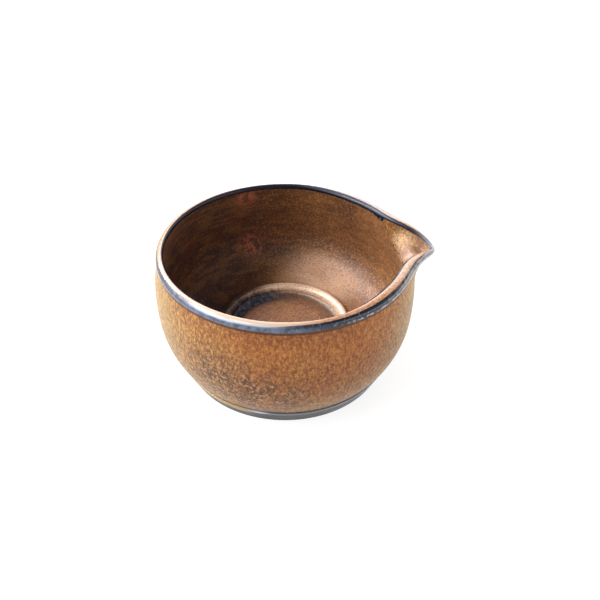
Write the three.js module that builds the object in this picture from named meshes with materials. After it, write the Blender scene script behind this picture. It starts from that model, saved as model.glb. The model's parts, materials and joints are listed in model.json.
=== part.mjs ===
// A yuzamashi: a small open stoneware bowl with a pouring spout, in which boiled water cools before it
// goes on the tea. Millimetres, +Z up. The foot stands on z = 0 and the spout points along +X.
//
// It is made as a potter makes it. The bowl is thrown, so every piece starts as a turned section. The
// spout is then drawn out of the wall: near it, the section is pulled outwards and down by an amount that
// depends only on the angle from the spout's own axis. All pieces share those rules, so they keep fitting.
import * as THREE from "three";
import { mergeVertices } from "three/addons/utils/BufferGeometryUtils.js";

// Thrown body
const rimRadius = 50;
const bellyRadius = 51.4;
const bellyHeight = 36.5;
const shoulderHeight = 17.9;
const bellyFullness = 2.7;
const wallAtRim = 3;
const wallAtBelly = 3.4;

// Floor, with the round sunk well that gathers the last of the water, and the low disc in the well
const floorThickness = 6.8;
const wellRadius = 20.6;
const wellWallRun = 2.6;
const wellWallRise = 1.1;
const wellShoulderRun = 2.7;
const wellShoulderRise = 2.6;
const wellCreaseRun = 0.7;
const wellCreaseDrop = 0.4;
const discRadius = 16.4;
const discRise = 0.6;
const innerCornerFullness = 2.4;

// Lip: thin and high inside, sloping away outside to a rounded edge over a shallow undercut
const lipHeight = 3.8;
const lipInnerDrop = 1.3;
const lipCrestShare = 0.3;
const lipEquatorShare = 0.6;
const lipUndercut = 0.42;

// Foot ring
const footHeight = 6.5;
const bodyFootRadius = 43.4;
const footLedge = 0.5;
const footOuterRadius = 41.2;
const footRingWidth = 4.6;
const footRingTaper = 0.9;
const footBevel = 0.5;
const undersideRise = 0.5;

// Spout, measured from the turned rim; angles are in degrees from the spout's axis
const spoutReach = 9.9;
const spoutSpread = 12.8;
const tipDroop = 5;
const tipDroopSpread = 8;
const lipAtTip = 1.3;
const lipThinningSpread = 15;
const lipHeightAtTip = 2;
const sillDrop = 13;
const throatHalfAngle = 24;
const throatEndDrop = 2.5;
const heelRise = 1.9;
const heelEndDrop = 2.5;
const heelHollow = 2.2;
const channelSag = 1.3;

// The inside of the wall is squeezed in on both sides of the spout, which thickens the lip there
const squeeze = 2.1;
const squeezeFullAngle = 42;
const squeezeEndAngle = 80;
const squeezeFloorHeight = 20;

// Layer of slip that lutes the spout into its notch
const slipJoint = 0.3;

// Fineness of the turned surfaces
const spoutColumns = 22;
const notchColumns = 14;
const bodyColumns = 58;
const footColumns = 72;

// Heights and radii that follow from the sizes above
const rimHeight = bellyHeight + shoulderHeight;
const neckHeight = rimHeight - lipHeight;
const innerBellyRadius = bellyRadius - wallAtBelly;
const innerRimRadius = rimRadius - wallAtRim;
const wellFloorHeight = footHeight + floorThickness;
const wellMouthHeight = wellFloorHeight + wellWallRise;
const wellRimRadius = wellRadius + wellWallRun + wellShoulderRun;
const creaseRadius = wellRimRadius + wellCreaseRun;
const creaseHeight = wellMouthHeight + wellShoulderRise - wellCreaseDrop;
const heelHeight = bellyHeight + heelRise;
const footInnerRadius = footOuterRadius - footRingWidth - footRingTaper;

// The origin is under the middle of the whole vessel, so the bowl's own axis stands behind it
const axisX = (bellyRadius - rimRadius - spoutReach) / 2;

// Small tools of the outline
const lerp = THREE.MathUtils.lerp;
const radians = THREE.MathUtils.degToRad;
const smooth = THREE.MathUtils.smoothstep;
const steps = (count) => Array.from({ length: count + 1 }, (_, i) => i / count);
const fade = (angle, spread) => Math.exp(-((Math.abs(angle) / spread) ** 1.7));

// A run of an ellipse, from one angle to another, as [radius, height] points
function ellipseRun(centre, half, fromDegrees, toDegrees, count) {
  return steps(count).map((share) => {
    const turn = radians(lerp(fromDegrees, toDegrees, share));
    return [centre[0] + half[0] * Math.cos(turn), centre[1] + half[1] * Math.sin(turn)];
  });
}

// Turned outside of the body: full at the belly, drawn in to the foot below and to the neck above
function turnedOutside(height) {
  if (height < bellyHeight) {
    const fall = (bellyHeight - height) / (bellyHeight - footHeight);
    return bellyRadius - (bellyRadius - bodyFootRadius) * fall ** bellyFullness;
  }
  const rise = (height - bellyHeight) / (neckHeight - bellyHeight);
  return bellyRadius - (bellyRadius - rimRadius + lipUndercut) * rise ** 2;
}

// Turned inside of the wall, above the belly
function turnedInside(height) {
  const rise = (height - bellyHeight) / shoulderHeight;
  return innerBellyRadius - (innerBellyRadius - innerRimRadius) * rise ** 2;
}

// Inside of the wall at an angle from the spout, with the squeeze that fades out towards the floor
const squeezeWidth = (angle) => 1 - smooth(Math.abs(angle), squeezeFullAngle, squeezeEndAngle);
const squeezeAt = (height, angle) =>
  squeeze * squeezeWidth(angle) * smooth(height, squeezeFloorHeight, rimHeight);
const inside = (height, angle) => turnedInside(height) - squeezeAt(height, angle);

// The lip at an angle: its two radii, its top and its own height
function lipAt(angle) {
  const outer = rimRadius + spoutReach * fade(angle, spoutSpread);
  const squeezed = wallAtRim + squeeze * squeezeWidth(angle);
  const thinned = fade(angle, lipThinningSpread);
  return {
    outer,
    inner: outer - lerp(squeezed, lipAtTip, thinned),
    top: rimHeight - tipDroop * fade(angle, tipDroopSpread),
    height: lerp(lipHeight, lipHeightAtTip, thinned),
    innerDrop: lerp(lipInnerDrop, lipInnerDrop * (lipHeightAtTip / lipHeight) ** 2, thinned),
  };
}

// The joint of the spout is U-shaped: deepest at the spout's axis, with arms that reach the lip
function jointDepth(angle) {
  const share = Math.min(1, Math.abs(angle) / throatHalfAngle);
  return 1 - share ** 2;
}
const throatHeight = (angle) => rimHeight - lerp(throatEndDrop, sillDrop, jointDepth(angle));
const heelLine = (angle) => lerp(neckHeight - heelEndDrop, heelHeight, jointDepth(angle));

// Lip section, from its lower outer edge over the top to its inner edge
function lipSection(angle) {
  const lip = lipAt(angle);
  const width = lip.outer - lip.inner;
  const crest = lip.inner + lipCrestShare * width;
  const equator = lip.top - lipEquatorShare * lip.height;
  const under = ellipseRun([lip.outer - lipUndercut, equator],
    [lipUndercut, (1 - lipEquatorShare) * lip.height], -90, 0, 2);
  const slope = ellipseRun([crest, equator], [lip.outer - crest, lip.top - equator], 0, 90, 5);
  const inner = ellipseRun([crest, lip.top - lip.innerDrop], [crest - lip.inner, lip.innerDrop], 90, 180, 3);
  return [...under, ...slope.slice(1), ...inner.slice(1)];
}

// Underside of the beak, from the heel on the body up to the lip's lower edge, without that edge
function beakUnderside(angle, count, heelOffset) {
  const start = heelLine(angle) + heelOffset;
  const [edgeRadius, edgeHeight] = lipSection(angle)[0];
  const pull = edgeRadius - turnedOutside(edgeHeight);
  return steps(count).slice(0, -1).map((share) => {
    const height = lerp(start, edgeHeight, share);
    return [turnedOutside(height) + pull * share ** heelHollow, height];
  });
}

// Channel of the spout, from the lip's inner edge down to the throat, without that edge
function channel(angle, count, throatOffset) {
  const [edgeRadius, edgeHeight] = lipSection(angle).at(-1);
  const end = throatHeight(angle) + throatOffset;
  const throatRadius = inside(end, angle);
  const run = Math.max(0, edgeRadius - throatRadius) / (spoutReach + wallAtRim);
  return steps(count).slice(1).map((share) => [
    lerp(edgeRadius, throatRadius, share),
    lerp(edgeHeight, end, share) - channelSag * run * 4 * share * (1 - share),
  ]);
}

// Section of the bowl at an angle, from the underside's middle out, up and over the wall, and back down
// to the middle of the floor. In the notch the wall ends at the joint instead of at the lip.
function bowlSection(angle, notched) {
  const heel = heelLine(angle);
  const throat = throatHeight(angle);
  const underside = [
    [0, footHeight + undersideRise],
    [footInnerRadius / 2, footHeight + undersideRise],
    [footInnerRadius, footHeight],
  ];
  const lowerOutside = steps(9).slice(0, -1).map((share) => {
    const height = lerp(footHeight, bellyHeight, share ** 1.3);
    return [turnedOutside(height), height];
  });
  const upperOutside = steps(3).map((share) => {
    const height = lerp(bellyHeight, heel, share);
    return [turnedOutside(height), height];
  });
  const upperInside = steps(5).map((share) => {
    const height = lerp(throat, bellyHeight, share);
    return [inside(height, angle), height];
  });
  const overTheTop = [
    ...beakUnderside(angle, 2, 0).slice(1),
    ...lipSection(angle),
    ...channel(angle, 2, 0),
  ];
  const joint = overTheTop.map((point, i) =>
    i < overTheTop.length / 2 ? upperOutside.at(-1) : upperInside[0]);
  return [
    ...underside,
    ...lowerOutside,
    ...upperOutside,
    ...(notched ? joint : overTheTop),
    ...upperInside.slice(1),
    ...floorSection(angle),
  ];
}

// Inside of the bowl below the belly: the round corner, the crease outside the well, then the well's
// rounded shoulder and wall, and the disc that its floor rises to
function floorSection(angle) {
  const corner = steps(9).slice(1).map((share) => {
    const turn = radians(90 * share);
    const radius = lerp(creaseRadius, innerBellyRadius, Math.cos(turn) ** (2 / innerCornerFullness));
    const height = lerp(bellyHeight, creaseHeight, Math.sin(turn) ** (2 / innerCornerFullness));
    return [radius - squeezeAt(height, angle), height];
  });
  const crease = ellipseRun([wellRimRadius, creaseHeight], [wellCreaseRun, wellCreaseDrop], 0, 90, 3);
  const shoulder = ellipseRun(
    [wellRimRadius, wellMouthHeight], [wellShoulderRun, wellShoulderRise], 90, 180, 4);
  const wall = ellipseRun([wellRadius, wellMouthHeight], [wellWallRun, wellWallRise], 0, -90, 4);
  const disc = steps(3).map((share) => [
    lerp(wellRadius, discRadius, share),
    wellFloorHeight + discRise * smooth(share, 0, 1),
  ]);
  return [
    ...corner,
    ...crease.slice(1),
    ...shoulder.slice(1),
    ...wall.slice(1),
    ...disc.slice(1),
    [0, wellFloorHeight + discRise],
  ];
}

// Section of the spout: a closed loop from the heel up the underside, over the lip, down the channel to
// the throat, and back through the joint. It stays clear of the notch by the thickness of the slip.
function spoutSection(angle) {
  return [
    ...beakUnderside(angle, 8, slipJoint),
    ...lipSection(angle),
    ...channel(angle, 8, slipJoint),
  ];
}

// Section of the foot ring: beveled where it stands, with a rounded ledge outside the body's edge
function footSection() {
  const ledgeRadius = bodyFootRadius + footLedge;
  const innerFoot = footOuterRadius - footRingWidth;
  return [
    [footOuterRadius - footBevel, 0],
    [footOuterRadius, footBevel],
    ...ellipseRun([bodyFootRadius, footHeight - footLedge], [footLedge, footLedge], 0, 90, 3),
    [footInnerRadius, footHeight],
    [innerFoot, footBevel],
    [innerFoot + footBevel, 0],
  ];
}

// Places a section's points at an angle round the bowl's axis
function placed(section, angle) {
  const turn = radians(angle);
  return section.map(([radius, height]) =>
    [axisX + radius * Math.cos(turn), radius * Math.sin(turn), height]);
}

// Joins rows of points into one closed surface. The last row joins the first unless the ends are capped,
// and a looped section joins its last point to its first.
function skin(rows, { looped, capped }) {
  const width = rows[0].length;
  const triangles = [];
  const rowPairs = capped ? rows.length - 1 : rows.length;
  const pointPairs = looped ? width : width - 1;
  for (let i = 0; i < rowPairs; i++) {
    const here = i * width;
    const next = ((i + 1) % rows.length) * width;
    for (let j = 0; j < pointPairs; j++) {
      const k = (j + 1) % width;
      triangles.push([here + j, next + j, next + k], [here + j, next + k, here + k]);
    }
  }
  if (capped) {
    const first = capTriangles(capped[0]);
    const last = capTriangles(capped[1]);
    const lastRow = (rows.length - 1) * width;
    triangles.push(...first);
    triangles.push(...last.map(([a, b, c]) => [lastRow + a, lastRow + c, lastRow + b]));
  }
  return welded(rows.flat(), triangles);
}

// Triangles that fill a section, as a flat end face
function capTriangles(section) {
  const outline = section.map(([radius, height]) => new THREE.Vector2(radius, height));
  return THREE.ShapeUtils.triangulateShape(outline, []);
}

// One mesh with shared corners, without the empty triangles that coinciding corners leave
function welded(points, triangles) {
  const loose = new THREE.BufferGeometry();
  loose.setAttribute("position", new THREE.Float32BufferAttribute(points.flat(), 3));
  loose.setIndex(triangles.flat());
  const solid = mergeVertices(loose, 1e-4);
  const corners = solid.getIndex().array;
  const kept = [];
  for (let i = 0; i < corners.length; i += 3) {
    const [a, b, c] = corners.subarray(i, i + 3);
    if (a !== b && b !== c && c !== a) kept.push(a, b, c);
  }
  solid.setIndex(kept);
  solid.computeVertexNormals();
  return solid;
}

// The thrown body, with the notch for the spout
function bowlGeometry() {
  const notch = steps(notchColumns).map((share) => lerp(-throatHalfAngle, throatHalfAngle, share));
  const wall = steps(bodyColumns).map((share) => lerp(throatHalfAngle, 360 - throatHalfAngle, share));
  const rows = [
    ...notch.map((angle) => placed(bowlSection(angle, true), angle)),
    ...wall.map((angle) => placed(bowlSection(angleFromSpout(angle), false), angle)),
  ];
  return skin(rows, { looped: false });
}

// Angle from the spout's axis, between -180 and 180 degrees
const angleFromSpout = (angle) => (angle > 180 ? angle - 360 : angle);

// The spout, cut a joint's width short of the notch's sides
function spoutGeometry() {
  const halfAngle = throatHalfAngle - THREE.MathUtils.radToDeg(slipJoint / innerRimRadius);
  const angles = steps(spoutColumns).map((share) => lerp(-halfAngle, halfAngle, share));
  const rows = angles.map((angle) => placed(spoutSection(angle), angle));
  return skin(rows, { looped: true, capped: [spoutSection(-halfAngle), spoutSection(halfAngle)] });
}

// The ring that the vessel stands on
function footGeometry() {
  const angles = steps(footColumns).slice(0, -1).map((share) => 360 * share);
  return skin(angles.map((angle) => placed(footSection(), angle)), { looped: true });
}

// Bronze-brown glaze on the body and spout, and the darker bare foot
const bronzeGlaze = new THREE.MeshStandardMaterial({ color: 0x8a5a34, roughness: 0.42, metalness: 0.35 });
const spoutGlaze = new THREE.MeshStandardMaterial({ color: 0x9a6434, roughness: 0.38, metalness: 0.35 });
const footClay = new THREE.MeshStandardMaterial({ color: 0x4c4f58, roughness: 0.7, metalness: 0.1 });

function piece(name, geometry, material) {
  const mesh = new THREE.Mesh(geometry, material);
  mesh.name = name;
  return mesh;
}

const yuzamashi = new THREE.Group();
yuzamashi.add(piece("bowl", bowlGeometry(), bronzeGlaze));
yuzamashi.add(piece("spout", spoutGeometry(), spoutGlaze));
yuzamashi.add(piece("foot_ring", footGeometry(), footClay));

export default yuzamashi;
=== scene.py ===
# %% [markdown]
# # A yuzamashi in bronze-brown glaze
#
# A yuzamashi is the small open bowl in which boiled water cools before it is poured on green tea. This
# one is thrown stoneware with a drawn-out spout, a thick glazed lip, a sunk well in its floor and a
# turned foot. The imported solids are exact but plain: here each one gets a finer skin and its glaze.
#
# The scene could keep the solids as they are and only colour them. It models new skins instead, because
# gloss shows every facet, and because one coat of glaze runs over bowl and spout and hides their joint.

import json
import math

import bmesh
import bpy
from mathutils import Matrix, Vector

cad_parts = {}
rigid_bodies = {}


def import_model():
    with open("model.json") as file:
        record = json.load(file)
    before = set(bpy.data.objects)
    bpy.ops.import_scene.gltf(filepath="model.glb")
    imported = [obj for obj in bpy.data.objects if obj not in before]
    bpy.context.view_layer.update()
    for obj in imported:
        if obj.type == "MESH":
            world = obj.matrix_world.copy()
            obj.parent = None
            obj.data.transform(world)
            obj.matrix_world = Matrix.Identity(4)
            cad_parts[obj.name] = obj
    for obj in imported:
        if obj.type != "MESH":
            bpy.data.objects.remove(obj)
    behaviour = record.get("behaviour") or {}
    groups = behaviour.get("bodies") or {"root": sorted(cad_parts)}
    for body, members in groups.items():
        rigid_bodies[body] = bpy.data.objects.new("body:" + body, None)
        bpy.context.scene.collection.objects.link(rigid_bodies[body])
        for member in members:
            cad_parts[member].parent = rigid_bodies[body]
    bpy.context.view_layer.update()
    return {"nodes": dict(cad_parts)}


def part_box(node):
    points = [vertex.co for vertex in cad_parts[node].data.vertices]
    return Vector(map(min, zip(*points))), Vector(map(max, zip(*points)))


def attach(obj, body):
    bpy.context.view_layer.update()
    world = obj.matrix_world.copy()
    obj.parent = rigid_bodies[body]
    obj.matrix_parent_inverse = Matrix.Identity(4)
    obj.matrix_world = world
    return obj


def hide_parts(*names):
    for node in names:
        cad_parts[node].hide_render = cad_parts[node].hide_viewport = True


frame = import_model()
print("packed nodes:", sorted(frame["nodes"]))

# %% [markdown]
# ## The main sizes
#
# Blender counts in metres, but a potter thinks in millimetres, so every size here is in millimetres and
# becomes metres only when a vertex or a node is made. The main sizes could be typed in. They are read
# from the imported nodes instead, so the skins still fit if the solids are made taller or wider.

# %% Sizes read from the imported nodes
MM = 0.001

def box_in_mm(name):
    """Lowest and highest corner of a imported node, in millimetres, to a hundredth."""
    return [[round(c / MM, 2) for c in corner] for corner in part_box(name)]

bowl_low, bowl_high = box_in_mm("bowl")
foot_low, foot_high = box_in_mm("foot_ring")
spout_high = box_in_mm("spout")[1]
AXIS_X = round((foot_low[0] + foot_high[0]) / 2, 2)     # the turning axis stands behind the origin
BELLY_RADIUS = AXIS_X - bowl_low[0]
RIM_HEIGHT = bowl_high[2]
FOOT_HEIGHT = foot_high[2]
LEDGE_RADIUS = foot_high[0] - AXIS_X
SPOUT_TIP_RADIUS = spout_high[0] - AXIS_X
print("axis at x", AXIS_X, "mm, belly", 2 * BELLY_RADIUS, "mm across, rim", RIM_HEIGHT, "mm high")

# %% [markdown]
# ## The camera
#
# The photograph looks down on the bowl from about 37 degrees, with the spout turned 6 degrees away from
# the camera. A camera could be aimed with a Track To constraint, but two angles and a distance say the
# same thing and can be read off directly. The small sideways shift keeps the bowl left of the middle.

# %% Camera at the photograph's angle
VIEW_TURN = 6.0           # degrees from the spout's direction to the picture's right-hand side
VIEW_PITCH = 37.447       # degrees downwards
VIEW_DISTANCE = 250.0
VIEW_HEIGHT = 218.82
LENS = 46.278
SENSOR_WIDTH = 36.0
SIDEWAYS_SHIFT = 0.025    # as a share of the picture's width
NEAREST = 10.0

def seen_from_camera(right, forward, height):
    """A point in millimetres, given to the right of the bowl's axis, away from the camera and upwards."""
    turn = math.radians(VIEW_TURN)
    x = AXIS_X + right * math.cos(turn) + forward * math.sin(turn)
    y = forward * math.cos(turn) - right * math.sin(turn)
    return Vector((x, y, height)) * MM

camera_data = bpy.data.cameras.new("camera")
camera_data.lens = LENS
camera_data.sensor_width = SENSOR_WIDTH
camera_data.shift_x = SIDEWAYS_SHIFT
camera_data.clip_start = NEAREST * MM
camera = bpy.data.objects.new("camera", camera_data)
camera.location = seen_from_camera(0, -VIEW_DISTANCE, VIEW_HEIGHT)
camera.rotation_euler = (math.radians(90 - VIEW_PITCH), 0, math.radians(-VIEW_TURN))
bpy.context.scene.collection.objects.link(camera)
bpy.context.scene.camera = camera
print("camera at", [round(c, 4) for c in camera.location])

# %% [markdown]
# ## The thrown section
#
# A potter throws the bowl first, so its shape starts as one outline in millimetres: radius from the
# turning axis, and height. The outline runs from the middle of the underside out and up the wall, over
# the lip, down the inside, and over the well to the middle of the floor.
#
# It could be drawn as a Bezier curve and turned with the Screw modifier. Plain rules for each stretch
# are used instead, because the spout is drawn out of the same outline later, by the same rules.

# %% Sizes of the bowl
RIM_RADIUS = 50.0
BELLY_HEIGHT = 36.5
BELLY_FULLNESS = 2.7
WALL_AT_RIM = 3.0
WALL_AT_BELLY = 3.4
LIP_HEIGHT = 3.8
LIP_INNER_DROP = 1.3
LIP_CREST_SHARE = 0.3
LIP_EQUATOR_SHARE = 0.6
LIP_UNDERCUT = 0.42
FOOT_LEDGE = 0.5          # how far the foot stands out under the body
BODY_FOOT_RADIUS = LEDGE_RADIUS - FOOT_LEDGE
NECK_HEIGHT = RIM_HEIGHT - LIP_HEIGHT
print("rim", 2 * RIM_RADIUS, "mm across, its neck", round(NECK_HEIGHT, 2), "mm up")

# %% Outside and inside of the wall
def lerp(a, b, share):
    return a + (b - a) * share

def smooth(x, low, high):
    """Rises softly from 0 at low to 1 at high."""
    share = min(1.0, max(0.0, (x - low) / (high - low)))
    return share * share * (3 - 2 * share)

def band(x, start, full, ease, end):
    """Rises softly from 0 at start to 1 at full, and falls again from ease to end."""
    return smooth(x, start, full) * (1 - smooth(x, ease, end))

def shares(count):
    """Even steps from 0 to 1, both ends included."""
    return [i / count for i in range(count + 1)]

def turned_outside(height):
    """Radius of the wall's outside: full at the belly, drawn in to the foot and to the neck."""
    if height < BELLY_HEIGHT:
        fall = (BELLY_HEIGHT - height) / (BELLY_HEIGHT - FOOT_HEIGHT)
        return BELLY_RADIUS - (BELLY_RADIUS - BODY_FOOT_RADIUS) * fall ** BELLY_FULLNESS
    rise = (height - BELLY_HEIGHT) / (NECK_HEIGHT - BELLY_HEIGHT)
    return BELLY_RADIUS - (BELLY_RADIUS - RIM_RADIUS + LIP_UNDERCUT) * rise ** 2

def turned_inside(height):
    """Radius of the wall's inside above the belly."""
    rise = (height - BELLY_HEIGHT) / (RIM_HEIGHT - BELLY_HEIGHT)
    belly, rim = BELLY_RADIUS - WALL_AT_BELLY, RIM_RADIUS - WALL_AT_RIM
    return belly - (belly - rim) * rise ** 2

print("wall at the belly", round(BELLY_RADIUS - turned_inside(BELLY_HEIGHT), 2), "mm")

# %% [markdown]
# ## The spout's rules
#
# The spout is not a separate shape stuck on. While the clay is soft, two fingers hold the wall and a
# third draws the rim out and down between them. So each rule below depends only on the angle from the
# spout's axis: how far the lip goes out, how much it droops, how thin it gets, and how deep the channel
# runs. At the back of the bowl every rule is at rest, and the outline is the thrown one.

# %% How the spout changes with the angle
SPOUT_REACH = SPOUT_TIP_RADIUS - RIM_RADIUS
SPOUT_SPREAD = 12.8
TIP_DROOP = 5.0
TIP_DROOP_SPREAD = 8.0
LIP_AT_TIP = 1.3
LIP_THINNING_SPREAD = 11.0
LIP_HEIGHT_AT_TIP = 2.0
FADE_POWER = 1.7          # 1 would give the spout a pointed tip, 2 a round one
SILL_DROP = 13.0
THROAT_HALF_ANGLE = 24.0
THROAT_END_DROP = 2.5
HEEL_HEIGHT = BELLY_HEIGHT + 1.9
HEEL_END_DROP = 2.5
HEEL_HOLLOW = 2.2
CHANNEL_SAG = 1.7
SQUEEZE = 2.1
SQUEEZE_FULL_ANGLE = 42.0
SQUEEZE_END_ANGLE = 80.0
SQUEEZE_FLOOR_HEIGHT = 20.0

def fade(angle, spread):
    """1 on the spout's axis, falling away on both sides."""
    return math.exp(-((abs(angle) / spread) ** FADE_POWER))

def squeeze_at(height, angle):
    """Thickening of the wall beside the spout, where the fingers push the clay together."""
    width = 1 - smooth(abs(angle), SQUEEZE_FULL_ANGLE, SQUEEZE_END_ANGLE)
    return SQUEEZE * width * smooth(height, SQUEEZE_FLOOR_HEIGHT, RIM_HEIGHT)

def joint_depth(angle):
    """1 where the spout reaches deepest into the wall, 0 beside it."""
    return max(0.0, 1 - (angle / THROAT_HALF_ANGLE) ** 2)

def throat_height(angle):
    return RIM_HEIGHT - lerp(THROAT_END_DROP, SILL_DROP, joint_depth(angle))

def heel_line(angle):
    return lerp(NECK_HEIGHT - HEEL_END_DROP, HEEL_HEIGHT, joint_depth(angle))

print("spout", round(SPOUT_REACH, 2), "mm past the rim, sill", throat_height(0), "mm up")

# %% [markdown]
# ## The lip
#
# Under a thick glaze a lip is never square: it is a soft roll, highest nearer the inside, with a small
# undercut where the glaze hangs over the neck. Three quarter ellipses, joined end to end, draw it. The
# Bevel modifier could round a square rim too, but it gives the same round to every edge.

# %% The lip's own outline
STEPS = {                 # how finely each stretch of an outline is drawn
    "underside": 6, "low_wall": 26, "high_wall": 9, "beak": 9,
    "lip_under": 4, "lip_slope": 12, "lip_edge": 6, "channel": 16, "inside": 14,
    "corner": 26, "crease": 6, "shoulder": 12, "well_wall": 10, "rise": 8, "disc": 14,
    "foot_rounding": 5, "foot_flare": 10, "foot_ledge": 6,
}

def ellipse_run(centre, half, start, end, count):
    """Points along part of an ellipse, from one angle in degrees to another."""
    turns = [math.radians(lerp(start, end, share)) for share in shares(count)]
    return [(centre[0] + half[0] * math.cos(t), centre[1] + half[1] * math.sin(t)) for t in turns]

def lip_outline(angle):
    """From the lower outer edge over the top to the inner edge."""
    outer = RIM_RADIUS + SPOUT_REACH * fade(angle, SPOUT_SPREAD)
    thinned = fade(angle, LIP_THINNING_SPREAD)
    inner = outer - lerp(WALL_AT_RIM + squeeze_at(RIM_HEIGHT, angle), LIP_AT_TIP, thinned)
    top = RIM_HEIGHT - TIP_DROOP * fade(angle, TIP_DROOP_SPREAD)
    height = lerp(LIP_HEIGHT, LIP_HEIGHT_AT_TIP, thinned)
    inner_drop = LIP_INNER_DROP * lerp(1, (LIP_HEIGHT_AT_TIP / LIP_HEIGHT) ** 2, thinned)
    crest = inner + LIP_CREST_SHARE * (outer - inner)
    equator = top - LIP_EQUATOR_SHARE * height
    under_half = (LIP_UNDERCUT, (1 - LIP_EQUATOR_SHARE) * height)
    under = ellipse_run((outer - LIP_UNDERCUT, equator), under_half, -90, 0, STEPS["lip_under"])
    slope_half = (outer - crest, top - equator)
    slope = ellipse_run((crest, equator), slope_half, 0, 90, STEPS["lip_slope"])
    edge_half = (crest - inner, inner_drop)
    edge = ellipse_run((crest, top - inner_drop), edge_half, 90, 180, STEPS["lip_edge"])
    return under + slope[1:] + edge[1:]

BACK = 180.0              # the angle farthest from the spout
print("lip outline has", len(lip_outline(BACK)), "points")

# %% [markdown]
# ## Floor and well
#
# The wall turns into the floor in a round corner. The floor ends in a fine crease, and inside it a soft
# shoulder drops into the well, where a low disc is left in the middle.
#
# The well could be cut out with a Boolean. As part of the outline it costs nothing, and its edges stay
# round, which a cut would have to be bevelled for.

# %% Inside of the bowl below the belly
FLOOR_THICKNESS = 6.8
WELL_RADIUS = 20.6
WELL_WALL_RUN = 2.6
WELL_WALL_RISE = 1.1
WELL_SHOULDER_RUN = 2.7
WELL_SHOULDER_RISE = 2.6
WELL_CREASE_RUN = 0.7
WELL_CREASE_DROP = 0.4
DISC_RADIUS = 16.4
DISC_RISE = 0.6
CORNER_FULLNESS = 2.4
WELL_FLOOR = FOOT_HEIGHT + FLOOR_THICKNESS
WELL_MOUTH = WELL_FLOOR + WELL_WALL_RISE
WELL_RIM_RADIUS = WELL_RADIUS + WELL_WALL_RUN + WELL_SHOULDER_RUN
CREASE_RADIUS = WELL_RIM_RADIUS + WELL_CREASE_RUN
CREASE_HEIGHT = WELL_MOUTH + WELL_SHOULDER_RISE - WELL_CREASE_DROP

def corner_outline(angle):
    """The round corner between wall and floor, from the belly down to the crease."""
    points = []
    for share in shares(STEPS["corner"])[1:]:
        turn = math.pi / 2 * share
        across = max(0.0, math.cos(turn)) ** (2 / CORNER_FULLNESS)
        down = math.sin(turn) ** (2 / CORNER_FULLNESS)
        height = lerp(BELLY_HEIGHT, CREASE_HEIGHT, down)
        radius = lerp(CREASE_RADIUS, BELLY_RADIUS - WALL_AT_BELLY, across)
        points.append((radius - squeeze_at(height, angle), height))
    return points

def well_outline():
    """From the crease over the shoulder, down the well's wall and over the disc to the middle."""
    crease_half = (WELL_CREASE_RUN, WELL_CREASE_DROP)
    crease = ellipse_run((WELL_RIM_RADIUS, CREASE_HEIGHT), crease_half, 0, 90, STEPS["crease"])
    shoulder_half = (WELL_SHOULDER_RUN, WELL_SHOULDER_RISE)
    shoulder = ellipse_run((WELL_RIM_RADIUS, WELL_MOUTH), shoulder_half, 90, 180, STEPS["shoulder"])
    wall_half = (WELL_WALL_RUN, WELL_WALL_RISE)
    wall = ellipse_run((WELL_RADIUS, WELL_MOUTH), wall_half, 0, -90, STEPS["well_wall"])
    rise = [(lerp(WELL_RADIUS, DISC_RADIUS, s), WELL_FLOOR + DISC_RISE * smooth(s, 0, 1))
            for s in shares(STEPS["rise"])]
    disc = [(lerp(DISC_RADIUS, 0, s), WELL_FLOOR + DISC_RISE) for s in shares(STEPS["disc"])]
    return crease[1:] + shoulder[1:] + wall[1:] + rise[1:] + disc[1:]

print("well", 2 * WELL_RADIUS, "mm across, its floor", WELL_FLOOR, "mm up")

# %% [markdown]
# ## The whole outline
#
# The stretches are now strung together for any angle. Each has the same number of points at every angle,
# so that the outlines match point by point, and each keeps its name, which the glaze will need. One
# nameless list of points would make the same shape, but nobody could tell the lip from the wall.

# %% The whole outline at any angle
FOOT_INNER_RADIUS = 35.7
UNDERSIDE_RISE = 0.5
TOWARDS_FOOT = 1.15       # above 1, the points of the lower wall crowd towards the foot

def channel_outline(inner_edge, throat):
    """From the lip's inner edge down to the throat, sagging more the farther the spout is drawn out."""
    run = max(0.0, inner_edge[0] - throat[0]) / (SPOUT_REACH + WALL_AT_RIM)
    return [(lerp(inner_edge[0], throat[0], s),
             lerp(inner_edge[1], throat[1], s) - CHANNEL_SAG * run * 4 * s * (1 - s))
            for s in shares(STEPS["channel"])[1:]]

def stretches(angle):
    """The outline at an angle from the spout's axis, in named stretches, each a list of points."""
    lip = lip_outline(angle)
    heel, throat = heel_line(angle), throat_height(angle)
    edge_radius, edge_height = lip[0]
    pull = edge_radius - turned_outside(edge_height)
    throat_radius = turned_inside(throat) - squeeze_at(throat, angle)
    underside = [FOOT_INNER_RADIUS * s for s in shares(STEPS["underside"])]
    wall_low = [lerp(FOOT_HEIGHT, BELLY_HEIGHT, s ** TOWARDS_FOOT) for s in shares(STEPS["low_wall"])]
    wall_high = [lerp(BELLY_HEIGHT, heel, s) for s in shares(STEPS["high_wall"])[1:]]
    beak = [(lerp(heel, edge_height, s), s) for s in shares(STEPS["beak"])[1:-1]]
    inside = [lerp(throat, BELLY_HEIGHT, s) for s in shares(STEPS["inside"])[1:]]
    return {
        "underside": [(radius, FOOT_HEIGHT + UNDERSIDE_RISE) for radius in underside],
        "outside": [(turned_outside(z), z) for z in wall_low + wall_high],
        "beak": [(turned_outside(z) + pull * s ** HEEL_HOLLOW, z) for z, s in beak],
        "lip": lip,
        "channel": channel_outline(lip[-1], (throat_radius, throat)),
        "inside": [(turned_inside(z) - squeeze_at(z, angle), z) for z in inside],
        "corner": corner_outline(angle),
        "well": well_outline(),
    }

def whole(angle):
    """The outline at an angle, as one list of points."""
    return [point for points in stretches(angle).values() for point in points]

print({name: len(points) for name, points in stretches(BACK).items()})

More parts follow.
